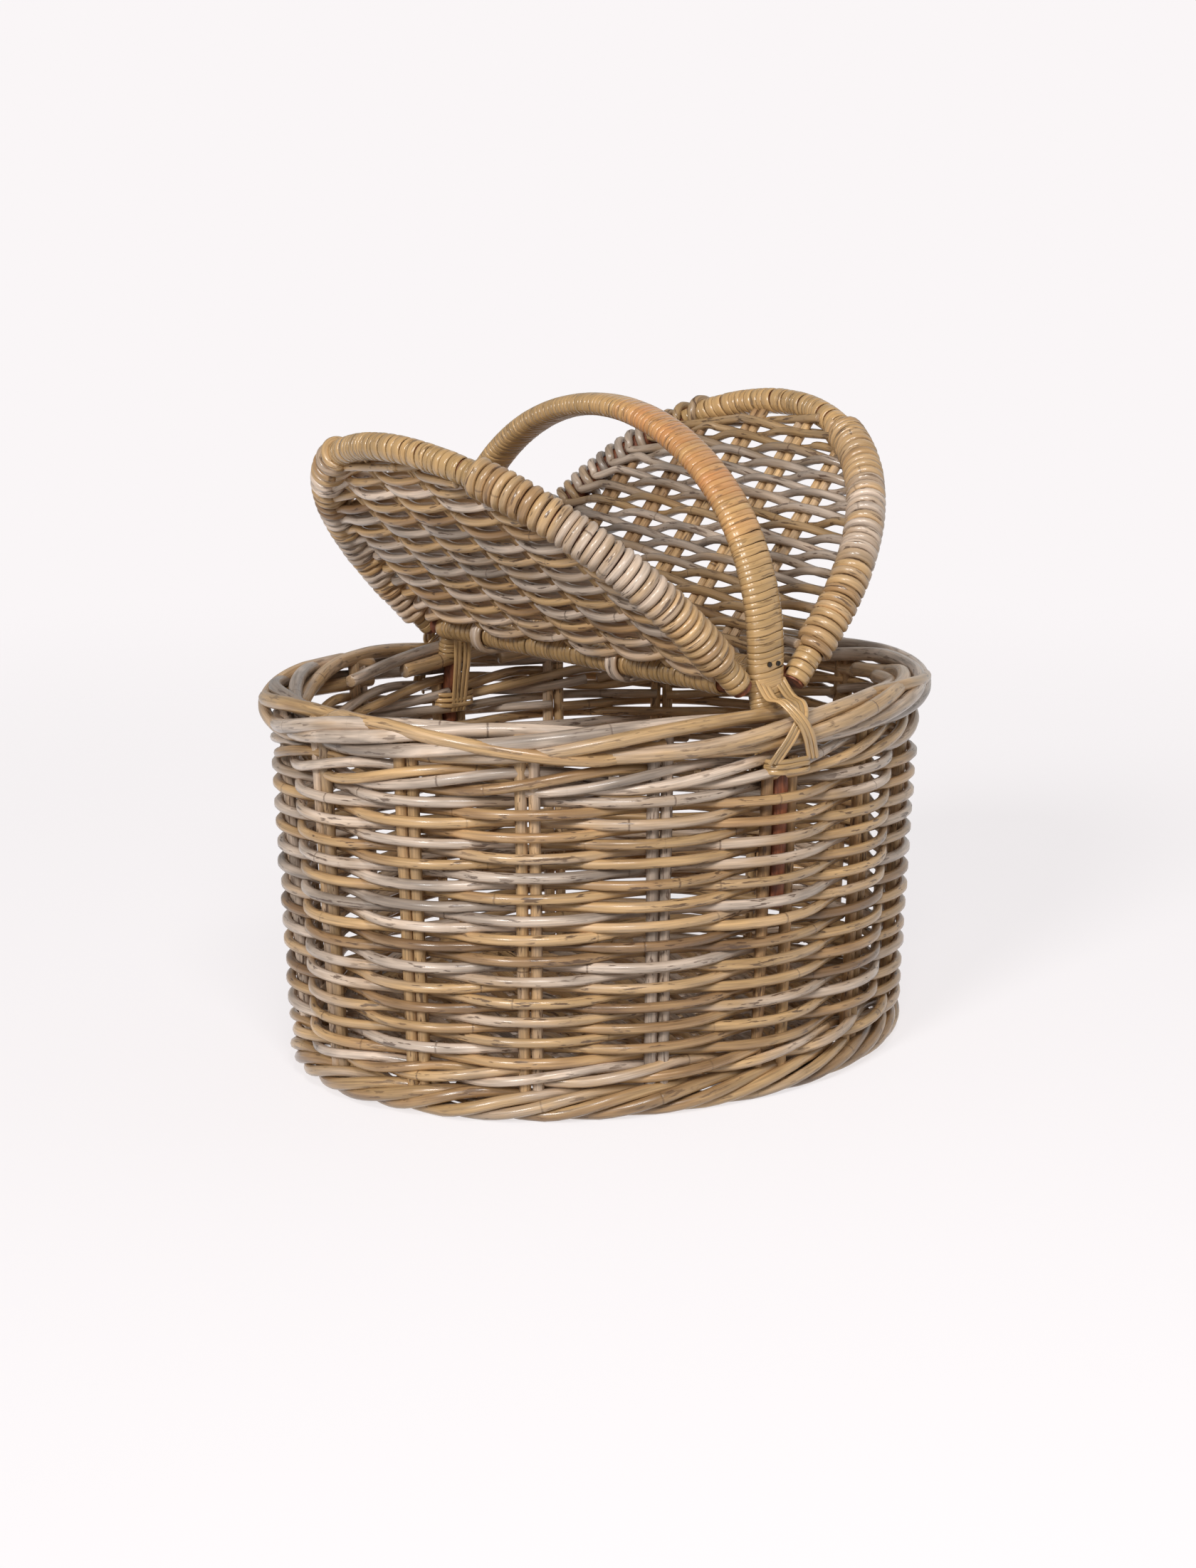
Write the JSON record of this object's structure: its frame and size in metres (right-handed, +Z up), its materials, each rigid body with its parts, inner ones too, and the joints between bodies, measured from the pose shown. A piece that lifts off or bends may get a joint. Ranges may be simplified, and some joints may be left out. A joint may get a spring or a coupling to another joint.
{
  "type": "picnic basket",
  "caption": "Oval woven rattan picnic basket with a fixed arched handle and two D-shaped lids that hinge up on cane loops either side of it.",
  "frame": {"origin": "centre of the oval footprint, on the floor under the foot border", "axes": "+X along the basket's long axis towards the right lid's tip, +Y across it towards the rear foot of the handle, +Z up"},
  "size_m": [0.4789, 0.3984, 0.4353],
  "materials": {
    "weave_rattan": "grey-brown peeled rattan, satin",
    "border_rattan": "grey-brown thick rattan, satin",
    "stake_rattan": "pale rattan rods, satin",
    "flat_cane": "honey split cane, semi-gloss",
    "grey_cane": "grey split rattan, satin",
    "pole_core": "dark rattan pole, matt",
    "tack_steel": "small dark nail heads"
  },
  "bodies": {
    "basket": {"base_weave": "weave_rattan", "base_ribs": "stake_rattan", "foot_border": "border_rattan", "upsett_wale": "border_rattan", "side_stakes": "stake_rattan", "side_weave": "weave_rattan", "top_wale": "border_rattan", "rim_border": "border_rattan", "handle_pole": "pole_core", "handle_side_rods": "stake_rattan", "handle_cane_wrap": "flat_cane", "front_handle_lashing": "flat_cane", "rear_handle_lashing": "flat_cane", "handle_tacks": "tack_steel", "crossbar": "pole_core", "crossbar_cane_wrap": "flat_cane", "left_front_hinge_loop": "grey_cane", "left_rear_hinge_loop": "grey_cane", "right_front_hinge_loop": "grey_cane", "right_rear_hinge_loop": "grey_cane"},
    "left_lid": {"left_lid_frame_pole": "pole_core", "left_lid_hinge_bar": "pole_core", "left_lid_bar_cane_wrap": "flat_cane", "left_lid_ribs": "stake_rattan", "left_lid_woven_panel": "weave_rattan", "left_lid_tip_cane_wrap": "flat_cane", "left_lid_front_side_wrap": "weave_rattan", "left_lid_rear_side_wrap": "weave_rattan", "left_lid_front_end_wrap": "flat_cane", "left_lid_rear_end_wrap": "flat_cane"},
    "right_lid": {"right_lid_frame_pole": "pole_core", "right_lid_hinge_bar": "pole_core", "right_lid_bar_cane_wrap": "flat_cane", "right_lid_ribs": "stake_rattan", "right_lid_woven_panel": "weave_rattan", "right_lid_tip_cane_wrap": "flat_cane", "right_lid_front_side_wrap": "weave_rattan", "right_lid_rear_side_wrap": "weave_rattan", "right_lid_front_end_wrap": "flat_cane", "right_lid_rear_end_wrap": "flat_cane"}
  },
  "joints": [
    {"name": "left_lid_hinge", "type": "hinge", "parent": "basket", "child": "left_lid", "pos_m": [-0.02351, 0, 0.2665], "axis": [0, 1, 0], "range_deg": [-44, 36]},
    {"name": "right_lid_hinge", "type": "hinge", "parent": "basket", "child": "right_lid", "pos_m": [0.02351, 0, 0.2665], "axis": [0, -1, 0], "range_deg": [-50, 30]}
  ]
}
